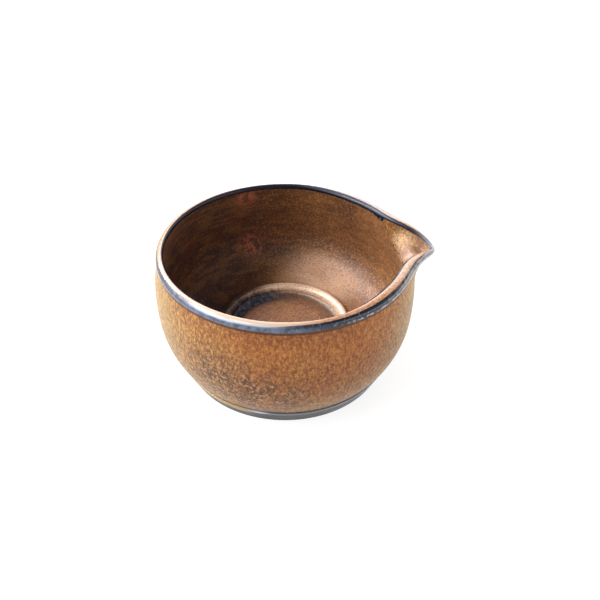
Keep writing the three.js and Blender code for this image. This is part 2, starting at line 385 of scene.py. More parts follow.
# %% [markdown]
# ## Throwing the bowl
#
# The outline at the back of the bowl is put down as a row of vertices and spun once round the axis, as on
# the wheel. Each vertex first gets the number of its place in the outline, so that every copy that Spin
# makes still knows which stretch it belongs to. Spin leaves a stack of vertices in the middle of the
# floor and of the underside, where the outline meets the axis, and these are merged into one.

# %% Spin the outline
COLUMNS = 288
WELD = 1e-7               # metres: vertices closer than this are one

def spun(outline, columns):
    """A bmesh turned from an outline, each vertex carrying its place in the outline."""
    bm = bmesh.new()
    place = bm.verts.layers.int.new("place")
    row = []
    for i, (radius, height) in enumerate(outline):
        vert = bm.verts.new(((AXIS_X - radius) * MM, 0, height * MM))
        vert[place] = i
        row.append(vert)
    edges = [bm.edges.new(pair) for pair in zip(row, row[1:])]
    bmesh.ops.spin(bm, geom=row + edges, cent=(AXIS_X * MM, 0, 0), axis=(0, 0, 1),
                   angle=math.tau, steps=columns, use_merge=True)
    bmesh.ops.remove_doubles(bm, verts=bm.verts, dist=WELD)
    bmesh.ops.recalc_face_normals(bm, faces=bm.faces)
    return bm

body_bm = spun(whole(BACK), COLUMNS)
print("thrown bowl:", len(body_bm.verts), "vertices,", len(body_bm.faces), "faces")

# %% [markdown]
# ## Marks of the hand
#
# A thrown wall is never quite round, and the fingers leave ridges inside it: very shallow waves, one
# every few millimetres. They could be a bump in the material. As real waves they also bend the
# reflections and the outline, which is what the eye takes for a thing made by hand.

# %% How far a surface stands in or out of its rule
RIDGE_DEPTH = 0.05        # of the ridges that the fingers leave inside
RIDGE_PITCH = 3.4
RIDGES_START = (CREASE_RADIUS, CREASE_RADIUS + 6.0)     # radii over which they begin, above the floor
RIDGES_END = (46.0, 52.0)                               # heights over which they end, below the lip
WOBBLE = 0.12             # slight unevenness of a wall thrown by hand
WOBBLE_BAND = (FOOT_HEIGHT + 4.0, BELLY_HEIGHT, 44.0, NECK_HEIGHT - 2.0)

def finger_ridges(radius, height, turn):
    ease = smooth(radius, *RIDGES_START) * (1 - smooth(height, *RIDGES_END))
    return RIDGE_DEPTH * ease * math.sin(math.tau * height / RIDGE_PITCH + turn)

def unevenness(height, turn):
    """A wall pushed out three times in a turn, and a little less five times, winding slowly upwards."""
    waves = math.sin(3 * turn + height / 9) + 0.6 * math.sin(5 * turn - height / 6)
    return WOBBLE * band(height, *WOBBLE_BAND) * waves / 2

def hand_marks(name, radius, height, turn):
    """How far a stretch of the surface stands out, in millimetres."""
    if name in ("inside", "corner"):
        return finger_ridges(radius, height, turn)
    return unevenness(height, turn) if name == "outside" else 0.0

print("finger ridges", RIDGE_DEPTH, "mm deep, the wall uneven by", WOBBLE, "mm")

# %% [markdown]
# ## Drawing out the spout
#
# Now the soft clay is moved, not rebuilt: each vertex goes to the same place in the outline that belongs
# to its own angle. A lattice or proportional editing could draw out a beak as well, but the rules put
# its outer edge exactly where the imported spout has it.

# %% Move every vertex to the outline of its own angle
ON_AXIS = 1e-3            # a vertex this near the axis has no angle of its own

def placed(radius, height, turn):
    """A point in metres, from its radius and height in millimetres and its turn round the bowl's axis."""
    return Vector((AXIS_X + radius * math.cos(turn), radius * math.sin(turn), height)) * MM

names = [name for name, points in stretches(BACK).items() for _ in points]
starts = {name: names.index(name) for name in set(names)}
counts = {name: names.count(name) for name in set(names)}
place = body_bm.verts.layers.int["place"]
outlines = {}
for vert in body_bm.verts:
    x, y = vert.co.x / MM - AXIS_X, vert.co.y / MM
    turn = math.atan2(y, x) if math.hypot(x, y) > ON_AXIS else 0.0
    angle = round(math.degrees(turn), 3)
    if angle not in outlines:
        outlines[angle] = whole(angle)
    radius, height = outlines[angle][vert[place]]
    radius += hand_marks(names[vert[place]], radius, height, turn)
    vert.co = placed(radius, height, turn)
print("spout drawn out over", len(outlines), "angles")

# %% [markdown]
# ## Where glaze rounds an edge
#
# The channel meets the inside of the wall in a crisp line, the throat, and the beak leaves the outside
# in another, the heel. Molten glaze fills and rounds both. Bevel would put an even strip along each. The
# vertices are relaxed towards their neighbours instead, which rounds more where the edge is sharper.

# %% Soften the throat and the heel
THROAT_REACH, THROAT_ROUNDS = 29.0, 90
HEEL_REACH, HEEL_ROUNDS = 30.0, 4

def from_spout(vert):
    """A vertex's angle from the spout's axis, in degrees."""
    return math.degrees(math.atan2(vert.co.y, vert.co.x - AXIS_X * MM))

def verts_at(bm, stretch, low, high, reach):
    """Vertices of a stretch between two places in it, as shares, and within an angle of the spout."""
    first, count = starts[stretch], counts[stretch]
    span = range(first + round(low * count), first + round(high * count))
    return [vert for vert in bm.verts if vert[place] in span and abs(from_spout(vert)) < reach]

def relax(bm, verts, rounds):
    """Draws vertices halfway to the middle of their neighbours, so many times."""
    for _ in range(rounds):
        bmesh.ops.smooth_vert(bm, verts=verts, factor=0.5,
                              use_axis_x=True, use_axis_y=True, use_axis_z=True)

throat_verts = (verts_at(body_bm, "channel", 0.25, 1.0, THROAT_REACH)
                + verts_at(body_bm, "inside", 0.0, 0.6, THROAT_REACH))
relax(body_bm, throat_verts, THROAT_ROUNDS)
heel_verts = (verts_at(body_bm, "outside", 0.93, 1.0, HEEL_REACH)
              + verts_at(body_bm, "beak", 0.0, 0.3, HEEL_REACH))
relax(body_bm, heel_verts, HEEL_ROUNDS)
print("softened", len(throat_verts) + len(heel_verts), "vertices")

# %% [markdown]
# ## Zones for the glaze
#
# Glaze behaves differently on a crest, under a lip and in a pool, so the material has to know where it
# is. Vertex groups or painted masks could say so. Here the rules that made the shape write float
# attributes on its vertices, from 0 to 1, and the material reads them by name. They lie exactly on the
# forms that they belong to, and nothing has to be painted.

# %% Write down the zones of the surface
ZONES = ("edge", "inner_edge", "crest", "ridge", "gleam", "low_lip_highlight", "undercut", "inner", "channel",
         "throat", "tip")
FRONT_LEFT = (90, 106, 126, 146)      # angles from the spout, on the camera's side
FAR_SIDE = (15, 35, 110, 150)         # angles from the spout, on the far side
TIP_SPREAD = 9.0

def lip_zones(share, degrees):
    """Zones of the lip, by the share of the way from under it over its top to its inner edge."""
    front_left = band(-degrees, *FRONT_LEFT)
    crest_start = lerp(0.46, 0.34, front_left)
    crest = smooth(share, crest_start, crest_start + 0.1)
    inner_start = lerp(0.72, 0.67, band(degrees, *FAR_SIDE))
    inner_edge = smooth(share, inner_start, inner_start + 0.08)
    return {
        "edge": max(smooth(share, 0.08, 0.16) * (1 - crest), inner_edge),
        "inner_edge": inner_edge,
        "crest": crest,
        # The next three zones carry painted highlight lines.
        "ridge": band(share, 0.52, 0.58, 0.64, 0.70),
        "gleam": front_left * band(share, 0.30, 0.40, 0.48, 0.56),
        "low_lip_highlight": band(share, 0.08, 0.14, 0.16, 0.24),
        # The undercut zone carries painted shade.
        "undercut": 1 - smooth(share, 0.10, 0.18),
        "tip": fade(degrees, TIP_SPREAD),
    }

def throat_zones(name, share, degrees):
    """Zones on both sides of the throat's edge, by the share of the way down a stretch."""
    depth = joint_depth(degrees)
    in_spout = smooth(depth, 0.0, 0.4)
    if name == "channel":
        return {
            "inner": 1.0,
            "edge": (1 - smooth(share, 0.2, 0.9)) * (1 - smooth(depth, 0.0, 0.3)),
            "channel": in_spout * (1 - 0.5 * smooth(share, 0.5, 1.0)),
            "throat": depth ** 0.5 * smooth(share, 0.6, 0.9),
        }
    return {
        "inner": 1.0,
        "channel": 0.5 * in_spout * (1 - smooth(share, 0.0, 0.3)),
        "throat": depth ** 0.5 * (1 - smooth(share, 0.0, 0.2)),
    }

def zone_values(name, share, degrees):
    """How much a point belongs to each zone. A zone that isn't named stays at 0."""
    if name == "lip":
        return lip_zones(share, degrees)
    if name in ("channel", "inside"):
        return throat_zones(name, share, degrees)
    if name in ("corner", "well"):
        return {"inner": 1.0}
    return {"undercut": smooth(share, 0.72, 1.0)} if name == "beak" else {}

layers = {zone: body_bm.verts.layers.float.new(zone) for zone in ZONES}
for vert in body_bm.verts:
    name = names[vert[place]]
    share = (vert[place] - starts[name]) / max(1, counts[name] - 1)
    for zone, value in zone_values(name, share, from_spout(vert)).items():
        vert[layers[zone]] = value
print("zones:", ZONES)

# %% The finished skin
def linked(name, mesh):
    """Puts a mesh in the scene as an object of that name."""
    piece = bpy.data.objects.new(name, mesh)
    bpy.context.scene.collection.objects.link(piece)
    return piece

def finished(name, bm, replaced):
    """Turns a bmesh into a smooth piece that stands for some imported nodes."""
    mesh = bpy.data.meshes.new(name)
    bm.to_mesh(mesh)
    bm.free()
    mesh.shade_smooth()
    piece = linked(name, mesh)
    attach(piece, "root")
    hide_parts(*replaced)
    return piece

glazed_body = finished("glazed_body", body_bm, ["bowl", "spout"])
print("glazed_body:", len(glazed_body.data.polygons), "faces")

# %% [markdown]
# ## The foot
#
# The foot is turned when the clay is leather-hard: the pot is set upside down on the wheel, and a loop
# tool trims a ring. Its outline flares a little towards the body and stands out under it as a narrow
# ledge. It is spun like the bowl, from a closed outline.
#
# A Bevel could take off its sharp edges afterwards. Here the outline has small arcs at them already,
# because fired clay never has a knife edge, and an arc can be given its own size.

# %% Turn the foot ring
FOOT_OUTER_RADIUS = 41.2
FOOT_RING_WIDTH = 4.6
FOOT_ROUNDING = 0.5

def foot_outline():
    """Closed outline of the ring, from its standing face round by the outside."""
    inner = FOOT_OUTER_RADIUS - FOOT_RING_WIDTH
    round_half = (FOOT_ROUNDING, FOOT_ROUNDING)
    ledge = ellipse_run((BODY_FOOT_RADIUS, FOOT_HEIGHT - FOOT_LEDGE), (FOOT_LEDGE, FOOT_LEDGE),
                        0, 90, STEPS["foot_ledge"])
    flare = [(lerp(FOOT_OUTER_RADIUS, BODY_FOOT_RADIUS + FOOT_LEDGE, s),
              lerp(FOOT_ROUNDING, FOOT_HEIGHT - FOOT_LEDGE, s)) for s in shares(STEPS["foot_flare"])]
    outer_edge = ellipse_run((FOOT_OUTER_RADIUS - FOOT_ROUNDING, FOOT_ROUNDING), round_half,
                             -90, 0, STEPS["foot_rounding"])
    inner_edge = ellipse_run((inner + FOOT_ROUNDING, FOOT_ROUNDING), round_half,
                             180, 270, STEPS["foot_rounding"])
    return outer_edge[:-1] + flare[:-1] + ledge + [(FOOT_INNER_RADIUS, FOOT_HEIGHT)] + inner_edge

foot_points = foot_outline()
foot_bm = spun(foot_points + foot_points[:1], COLUMNS)
turned_foot = finished("turned_foot", foot_bm, ["foot_ring"])
print("turned_foot:", len(turned_foot.data.polygons), "faces")

# %% [markdown]
# ## Reckoning with sockets
#
# Materials here are written as sums. A small class wraps a node's output, so that `grain * 0.3 + cloud`
# adds the Math nodes by itself. Wiring each node by hand would do the same in ten times the lines.

# %% A socket that can be reckoned with
class Wire:
    """An output socket. Operators on it add Math nodes to its own material."""

    def __init__(self, tree, socket):
        self.tree = tree
        self.socket = socket

    def math(self, operation, *values):
        return node(self.tree, "ShaderNodeMath", {"operation": operation}, dict(enumerate(values)))

    def __add__(self, other):
        return self.math("ADD", self, other)

    def __sub__(self, other):
        return self.math("SUBTRACT", self, other)

    def __mul__(self, other):
        return self.math("MULTIPLY", self, other)

    def __rsub__(self, other):
        return self.math("SUBTRACT", other, self)

    __radd__ = __add__
    __rmul__ = __mul__

    def clamped(self):
        return self.math("MAXIMUM", self.math("MINIMUM", self, 1.0), 0.0)

    def rising(self, low, high):
        """0 below low, 1 above high, and soft in between."""
        return node(self.tree, "ShaderNodeMapRange", {"interpolation_type": "SMOOTHSTEP"},
                    {"Value": self, "From Min": low, "From Max": high})

    def falling(self, low, high):
        """1 below low, 0 above high, and soft in between."""
        return 1 - self.rising(low, high)

    def band(self, start, full, ease, end):
        """0 outside start and end, 1 from full to ease, and soft in between."""
        return self.rising(start, full) * self.falling(ease, end)

def node(tree, kind, settings, inputs, output=0):
    """Adds a node, makes its settings, feeds its inputs with values or wires, and wraps one output."""
    made = tree.nodes.new(kind)
    for name, value in settings.items():
        setattr(made, name, value)
    for key, value in inputs.items():
        socket = made.inputs[key]
        if isinstance(value, Wire):
            tree.links.new(value.socket, socket)
        else:
            socket.default_value = value
    return Wire(tree, made.outputs[output])

print("sockets can be reckoned with")

# %% [markdown]
# ## Where a pattern lies, and how coarse it is
#
# Every pattern starts from a place on the piece. UV coordinates would need a seam somewhere on the bowl.
# Object coordinates have none, and they are real lengths, so a grain can be given its size in
# millimetres. They are counted from the bowl's turning axis here, because that is where a potter would
# measure from.

# %% Places and patterns
def started(name):
    """A new material with an empty node tree."""
    material = bpy.data.materials.new(name)
    material.use_nodes = True
    material.node_tree.nodes.clear()
    return material, material.node_tree

def position(tree, stretch=(1, 1, 1)):
    """Object coordinates in metres, measured from the bowl's own axis, and stretched along an axis."""
    own = node(tree, "ShaderNodeTexCoord", {}, {}, "Object")
    return node(tree, "ShaderNodeMapping", {},
                {"Vector": own, "Location": (-AXIS_X * MM * stretch[0], 0, 0), "Scale": stretch})

def millimetres(tree, at):
    """How far a place is towards the spout, away from the camera, and up."""
    return [node(tree, "ShaderNodeSeparateXYZ", {}, {"Vector": at}, axis) * (1 / MM) for axis in "XYZ"]

def spot(tree, at, middle, reach):
    """1 at a point in millimetres, fading to 0 at its reach."""
    far = node(tree, "ShaderNodeVectorMath", {"operation": "DISTANCE"},
               {0: at, 1: [c * MM for c in middle]}, "Value")
    return (far * (1 / MM)).falling(0.0, reach)

def spots(tree, at, places):
    """Several spots together, each given as its middle and its reach."""
    return sum(spot(tree, at, middle, reach) for middle, reach in places)

def noise(tree, at, size, detail=3.0, roughness=0.55):
    """Cloudy pattern with features of about this size in millimetres."""
    return node(tree, "ShaderNodeTexNoise", {"noise_dimensions": "3D"},
                {"Vector": at, "Scale": 1 / (size * MM), "Detail": detail, "Roughness": roughness}, "Fac")

def cells(tree, at, size):
    """Distance to the nearest of many scattered points, about this many millimetres apart."""
    return node(tree, "ShaderNodeTexVoronoi", {"feature": "F1"},
                {"Vector": at, "Scale": 1 / (size * MM)}, "Distance")

def zone(tree, name):
    """One of the zones that were written on the mesh."""
    return node(tree, "ShaderNodeAttribute", {"attribute_name": name}, {}, "Fac")

print("patterns ready")

# %% Mixes and surfaces
RELIEF_STRENGTH = 0.4
RELIEF_DEPTH = 0.3

def mixed(tree, share, first, second):
    """A colour between two colours."""
    return node(tree, "ShaderNodeMix", {"data_type": "RGBA"}, {0: share, 6: first, 7: second}, 2)

def layered(tree, colour, *coats):
    """A colour with coats over it, in their order, each given as how much of it shows, and its colour."""
    for share, coat in coats:
        colour = mixed(tree, share, colour, coat)
    return colour

def relief(tree, height):
    """A fine bump from a height between 0 and 1."""
    return node(tree, "ShaderNodeBump", {},
                {"Height": height, "Strength": RELIEF_STRENGTH, "Distance": RELIEF_DEPTH * MM}, "Normal")

def surfaced(piece, material, sockets):
    """Ends a material in a shader with these sockets, and gives the material to a piece."""
    tree = material.node_tree
    shader = node(tree, "ShaderNodeBsdfPrincipled", {}, sockets, "BSDF")
    tree.links.new(shader.socket, tree.nodes.new("ShaderNodeOutputMaterial").inputs["Surface"])
    piece.data.materials.append(material)
    print(material.name, "has", len(tree.nodes), "nodes")

print("mixes ready")

# %% [markdown]
# ## The glaze
#
# An iron-rich glaze that has been cooled slowly grows fine metallic crystals: golden grains over a brown
# ground, with streaks where it ran while molten. Where it is thin or breaks over an edge it turns
# blue-black and glossy, and where it pools it does so too.
#
# A painted texture could carry all this, but noise on object coordinates has no seam, and each mark can
# be given its real size.

# %% Colours of the glaze
def linear(red, green, blue):
    """A colour given as it shows on a screen, from 0 to 255, turned into light."""
    return tuple((c / 255) ** 2.2 for c in (red, green, blue)) + (1.0,)

ORANGE_BROWN = linear(146, 86, 38)
RED_BROWN = linear(132, 80, 42)
GOLD_BROWN = linear(142, 105, 62)
OLIVE_GOLD = linear(154, 132, 80)
NECK_SHADE_BROWN = linear(118, 68, 38)
GRAIN_GAP = linear(82, 46, 26)
GOLD_GRAIN = linear(194, 146, 82)
PATCH_BROWN = linear(62, 42, 30)
PINK_GRAIN = linear(196, 142, 104)
INNER_BROWN = linear(82, 51, 35)
INNER_BRONZE = linear(160, 111, 64)
BACK_SHADE_BROWN = linear(50, 31, 22)
INNER_CLOUD = linear(44, 34, 38)
INNER_GRAIN = linear(190, 134, 92)
REFLECTION_PINK = linear(168, 96, 70)
LIT_FLOOR_PAINT = linear(214, 174, 146)
PALE_DISC = linear(132, 92, 70)
SHOULDER_HIGHLIGHT = linear(222, 190, 164)
CHANNEL_AMBER = linear(108, 68, 34)
SPOUT_HIGHLIGHT_GOLD = linear(236, 198, 150)
POOL_DEEP = linear(44, 47, 60)
POOL_GREY = linear(78, 80, 88)
POOL_EDGE = linear(124, 84, 58)
BLUE_BLACK = linear(22, 27, 42)
BLUE_GREY = linear(112, 118, 130)
STEEL_BLUE = linear(104, 114, 138)
HIGHLIGHT_WHITE = linear(168, 178, 190)
UNDERCUT_SHADE_BROWN = linear(66, 40, 28)
LIP_COPPER = linear(168, 126, 98)
LIP_BROWN = linear(132, 94, 68)
LIP_HIGHLIGHT_CREAM = linear(176, 150, 128)
LIP_GREY = linear(120, 110, 104)
print("glaze colours set")

# %% Patterns in the glaze
glaze, tree = started("bronze_glaze")
at = position(tree)
across, along, height = millimetres(tree, at)
away = node(tree, "ShaderNodeVectorMath", {"operation": "LENGTH"},
            {0: position(tree, (1, 1, 0))}, "Value") * (1 / MM)
inner = zone(tree, "inner")
cloud = noise(tree, at, 24.0, 2.0)
breaking = noise(tree, at, 2.2, 3.0)
flecks = noise(tree, at, 1.2, 2.0)
speckle = noise(tree, at, 0.8, 3.0, 0.65)
fine = noise(tree, at, 0.5, 2.0, 0.7)
grain = noise(tree, position(tree, (1, 1, 0.6)), 1.0, 3.0, 0.7) * 0.65 + fine * 0.35
print("patterns from", 0.5, "to", 24.0, "mm")

# %% [markdown]
# ## The outside
#
# The wall's colour is laid down as a glaze builds up: a ground that is redder low down and more orange
# above, darkened just under the lip by painted shade, gold towards the foot, a painted sheen of gold
# towards the sides and of olive at the very edges, where the glaze reflects the bright room, two dark
# clouds in front, and over all of it the grain, with brown gaps and golden crystals. A Color Ramp could
# hold these colours too, but coats can each have a place of their own.

# %% Ground and grain of the outside
UPPER_WALL = (24.0, 44.0)             # heights over which red-brown turns into orange
FOOT_GLOW = (8.0, 26.0)               # heights over which the gold of the lower wall ends
# Painted shade: the wall darkens just below the lip, where the lip overhangs it.
NECK_SHADE_HEIGHTS = (41.0, 50.0)                   # heights over which the wall darkens below the lip
NECK_SHADE_END = (14.0, 30.0)
# Painted sheen: gold towards the left and right sides and olive at the very edges, where the glaze
# reflects the bright room.
LEFT_SHEEN, RIGHT_SHEEN = (-46.0, -8.0), (18.0, 46.0)
LEFT_EDGE_SHEEN, RIGHT_EDGE_SHEEN = (-51.0, -36.0), (34.0, 50.0)
DARK_PATCHES = (((-26, -44, 24), 23.0), ((-8, -49, 19), 18.0))
GAPS_NARROW = (30.0, 48.0)            # heights over which the grain closes up

low_glow = height.falling(*FOOT_GLOW)
side_sheen_painted = across.falling(*LEFT_SHEEN) + across.rising(*RIGHT_SHEEN)
gold_and_sheen = (low_glow * 0.7 + side_sheen_painted * 0.7 + (cloud - 0.5) * 1.2).clamped()
edge_sheen_painted = across.falling(*LEFT_EDGE_SHEEN) + across.rising(*RIGHT_EDGE_SHEEN)
neck = height.rising(*NECK_SHADE_HEIGHTS)
patch = spots(tree, at, DARK_PATCHES) + cloud.rising(0.60, 0.72) * 0.4
patch = (patch * (0.35 + noise(tree, at, 5.0, 2.0).rising(0.36, 0.62))).clamped()
gaps = grain.falling(0.40, 0.51) * (0.85 - 0.30 * height.rising(*GAPS_NARROW))
gold = grain.rising(0.505, 0.60) * (0.35 + 0.4 * gold_and_sheen)
pink = noise(tree, at, 1.3, 2.0).rising(0.50, 0.66)
outside_color = layered(
    tree, mixed(tree, height.rising(*UPPER_WALL), RED_BROWN, ORANGE_BROWN),
    (neck * 0.6 * across.falling(*NECK_SHADE_END), NECK_SHADE_BROWN),
    (gold_and_sheen * (1 - neck * 0.5), GOLD_BROWN),
    (edge_sheen_painted * 0.6, OLIVE_GOLD),
    (patch * 0.8, PATCH_BROWN),
    (gaps, GRAIN_GAP),
    (gold, GOLD_GRAIN),
    (patch * pink * 0.6, PINK_GRAIN),
)
print("outside has", len(tree.nodes), "nodes")

# %% [markdown]
# ## The inside
#
# Inside, the glaze is darker, with smoky clouds away from the spout. Painted shade darkens the left side
# and the back wall, and two pink patches on the back wall are painted reflections of the lit floor. On
# the spout's side it is bronze, and the floor round the well is paler there, a painted pool of light.
# The crests of the well's shoulder carry a painted highlight, nearly cream. Their radii are counted from
# the well's own edge, so that the finish would follow a wider well.

# %% Ground of the inside
SHADED_SIDE = (-22.0, 14.0)             # how far across the dark side gives way to bronze
LIT_SIDE = (-14.0, 6.0)               # and how far across the pale floor begins
BACK_WALL_SHADE, BACK_WALL_SHADE_END = (16.0, 38.0), (6.0, 26.0)
SPOUT_SIDE, SPOUT_SIDE_TOP = (25.0, 34.0), (20.0, 30.0)
LOW_INSIDE = (15.5, 24.0)             # heights over which the floor becomes the wall
REFLECTION_SPOTS = (((-11, 44, 26), 9.0), ((-12, 46, 50), 8.0))
LIT_FLOOR_SPOT = (20, 28, 18), 26.0

def from_well(*steps):
    """Radii counted from the well's edge."""
    return [WELL_RADIUS + step for step in steps]

# Painted shade: the left half of the inside, away from the light, stays dark brown, and the smoke clouds
# gather there.
shaded_side = (across + (cloud - 0.5) * 40.0).falling(*SHADED_SIDE)
lit_side = (across + (cloud - 0.5) * 16.0).rising(*LIT_SIDE)
smoke_and_shade = noise(tree, at, 13.0, 3.0).rising(0.46, 0.62) * (0.25 + 0.6 * shaded_side)
# Painted shade darkens the back wall inside.
back_wall_shade = along.rising(*BACK_WALL_SHADE) * across.falling(*BACK_WALL_SHADE_END)
# Painted reflections: two pink patches on the back wall, where it mirrors the lit floor.
painted_reflections = spots(tree, at, REFLECTION_SPOTS) * breaking.rising(0.40, 0.56)
spout_side = across.rising(*SPOUT_SIDE) * height.falling(*SPOUT_SIDE_TOP)
low_inside = height.falling(*LOW_INSIDE)
# Painted light: a pale pool of light on the floor beside the well, on the lit side.
lit_floor_painted = (spot(tree, at, *LIT_FLOOR_SPOT) * 1.3).clamped() * low_inside * lit_side
lit_floor_painted = lit_floor_painted * away.rising(*from_well(1.4, 3.4))
shoulder = away.band(*from_well(1.8, 2.8, 5.2, 6.0)) * low_inside
# Painted highlight: the crest of the well's shoulder, and the lit side of the whole shoulder, are painted
# nearly cream.
shoulder_highlight_crest = away.band(*from_well(2.4, 3.0, 3.6, 4.4)) * low_inside
# The foot of the well's wall is darkened on the lit side: partly glaze pooled there, partly painted shade
# under the shoulder.
fillet = away.band(*from_well(-0.2, 0.6, 2.0, 2.8)) * low_inside
inside_color = layered(
    tree, mixed(tree, (cloud - 0.1) * (1 - shaded_side), INNER_BROWN, INNER_BRONZE),
    (smoke_and_shade, INNER_CLOUD),
    (back_wall_shade * 0.45, BACK_SHADE_BROWN),
    (painted_reflections * 0.9, REFLECTION_PINK),
    (spout_side * 0.6, INNER_BROWN),
    (lit_floor_painted * 0.95, LIT_FLOOR_PAINT),
    (away.falling(*from_well(-3.6, -0.6)), PALE_DISC),
    ((shoulder * lit_side + shoulder_highlight_crest * 0.5).clamped(), SHOULDER_HIGHLIGHT),
    (fillet * lit_side * 0.7, INNER_CLOUD),
)
print("with the ground of the inside", len(tree.nodes), "nodes")

# %% Speckle of the inside, and the spout's channel
THROWN = (0.16, 0.16, 1)              # draws a pattern out sideways, as the turning wheel does
# Painted highlight: a golden spot in the middle of the channel.
SPOUT_HIGHLIGHT_SPOT = (52, 11, 46), 8.0
# Painted shade darkens the channel's near side.
NEAR_CHANNEL_SHADE = (-6.0, 10.0)           # how far along the channel's near side darkens

thrown_lines = noise(tree, position(tree, THROWN), 1.8, 2.0).rising(0.46, 0.62)
# On the lit side the pale speckle is stronger, as painted light.
inside_color = layered(
    tree, inside_color,
    (speckle.falling(0.38, 0.50) * 0.5, INNER_CLOUD),
    (thrown_lines * 0.22, INNER_BRONZE),
    (speckle.rising(0.52, 0.64) * (0.22 + 0.2 * lit_side), INNER_GRAIN),
)
channel_color = layered(
    tree, mixed(tree, grain.rising(0.46, 0.62) * 0.5, CHANNEL_AMBER, GOLD_GRAIN),
    (speckle.falling(0.36, 0.48) * 0.6, INNER_CLOUD),
    (spot(tree, at, *SPOUT_HIGHLIGHT_SPOT) * speckle.rising(0.25, 0.55), SPOUT_HIGHLIGHT_GOLD),
    (along.falling(*NEAR_CHANNEL_SHADE) * 0.8, INNER_BROWN),
)
channel = zone(tree, "channel")
channel_share = (channel + (speckle - 0.5) * 0.7).rising(0.25, 1.0)
inside_color = mixed(tree, channel_share, inside_color, channel_color)
body_color = mixed(tree, inner.rising(0.4, 0.6), outside_color, inside_color)
print("with the inside", len(tree.nodes), "nodes")

# %% [markdown]
# ## Edges, pool and specks
#
# Glaze creeps off a sharp edge and gathers in a hollow. So the lip has a blue-black band outside and
# inside and a copper crest between them, the corner of the well holds a dark pool, and the joint of the
# spout is dotted with pits and black specks. The pool is partly painted shade: wide and dark on the
# shaded left, thin and grey on the lit right. The lip also carries painted highlights: a cream crest and
# pale lines. Masks with straight borders would look printed. A noise is added to each before it is cut,
# and its borders become ragged.

# %% Where the glaze breaks and where it pools
POOL_TOP = (17.0, 17.5)
POOL_LIT_SIDE = (-8.0, 10.0)              # how far across the pool thins out, on the spout's side
PIT_SIZE = 1.6
SPECKS = (((44, 19, 50), 2.4), ((46, 12, 43), 2.0), ((47, -4, 44), 2.2))

ragged = breaking - 0.5
crest = (zone(tree, "crest") + ragged * 0.3).rising(0.4, 0.7)
lip = (zone(tree, "edge") + ragged * 0.4).rising(0.40, 0.60)
tip = zone(tree, "tip").rising(0.3, 0.9)
far_inner = zone(tree, "inner_edge") * along.rising(-10.0, 10.0)
pool_start = (away + across * 0.09 + ragged * 5.0).rising(*from_well(-5.6, -1.6))
pool_end = (away + across * 0.05 + ragged * 2.0).falling(*from_well(2.0, 3.4))
# Painted shade: the pool is wide and dark on the left, and thins and breaks up on the lit right.
pool_lit_side = across.rising(*POOL_LIT_SIDE)
pool_breaks_lit = pool_lit_side * (0.35 + 0.5 * speckle.rising(0.42, 0.58))
pool = pool_start * pool_end * height.falling(*POOL_TOP) * inner * (1 - pool_breaks_lit)
pits = zone(tree, "throat") * cells(tree, at, PIT_SIZE).falling(0.20, 0.34)
specks = spots(tree, at, SPECKS)
ragged_specks = (specks * inner + (speckle - 0.5) * 1.6).rising(0.35, 0.5) * specks.rising(0.0, 0.2)
edge = (lip + pool + (pits + ragged_specks).clamped()).clamped()
print("with the edges' masks", len(tree.nodes), "nodes")

# %% Colours of crest, edges and pool
front_left = across.falling(-14.0, 16.0) * along.falling(-34.0, -14.0)
# Painted highlight: the blue band turns paler steel-blue at the front left, where light falls on it.
steel_sheen_painted = front_left * (0.3 + 0.5 * breaking.rising(0.35, 0.60))
near_spout = across.rising(26.0, 46.0) * along.falling(-12.0, 4.0) * (breaking - 0.1).rising(0.25, 0.45)
pool_color = layered(
    tree, mixed(tree, breaking.rising(0.46, 0.62), POOL_DEEP, POOL_GREY),
    (pool_lit_side * 0.7, POOL_EDGE),
)
edge_color = layered(
    tree, mixed(tree, flecks.rising(0.56, 0.70) * 0.5 * (1 - far_inner), BLUE_BLACK, BLUE_GREY),
    (steel_sheen_painted, STEEL_BLUE),
    (near_spout * 0.7, LIP_GREY),
    (pool, pool_color),
)
# Painted highlight: the crest is cream at the front left, where the light catches it.
crest_highlight_painted = across.band(-38.0, -28.0, -6.0, 12.0) * along.falling(-20.0, 10.0)
crest_color = layered(tree, mixed(tree, speckle.rising(0.38, 0.60), LIP_BROWN, LIP_COPPER),
                      (crest_highlight_painted, LIP_HIGHLIGHT_CREAM))
# Painted highlights: a pale line along the far lip's ridge, a gleam on the front left, and broken pale
# lines low on the right of the lip.
far_ridge_highlight = zone(tree, "ridge") * along.rising(0.0, 26.0) * across.rising(-26.0, 4.0) * (1 - tip)
frost_highlight = zone(tree, "low_lip_highlight") * flecks.rising(0.46, 0.56) * across.rising(12.0, 26.0)
painted_highlight_lines = (far_ridge_highlight + zone(tree, "gleam") + frost_highlight).clamped()
glaze_color = layered(
    tree, body_color,
    # Painted shade in the lip's undercut and on the top of the beak under the spout's lip.
    (zone(tree, "undercut").rising(0.2, 0.9) * 0.8, UNDERCUT_SHADE_BROWN),
    (crest, crest_color),
    (edge, edge_color),
    (painted_highlight_lines * 0.7, HIGHLIGHT_WHITE),
    (tip * 0.8, BLUE_GREY),
)
print("with the edges' colours", len(tree.nodes), "nodes")

# %% [markdown]
# ## Gloss and relief
#
# The crystals make the wall satin and slightly metallic, while the broken edges, the crest and the pool
# are smooth glass over it. A second, glassy material could be set on those faces, but its border would
# be a line of edges. One shader with a gloss mask changes softly: where the mask is high, roughness and
# relief go down and the clear coat comes up.

# %% Gloss and relief of the glaze
SATIN, GLASS = 0.48, 0.16             # roughness of the grain and of the broken edges
METAL_INSIDE, METAL_OUTSIDE = 0.20, 0.20

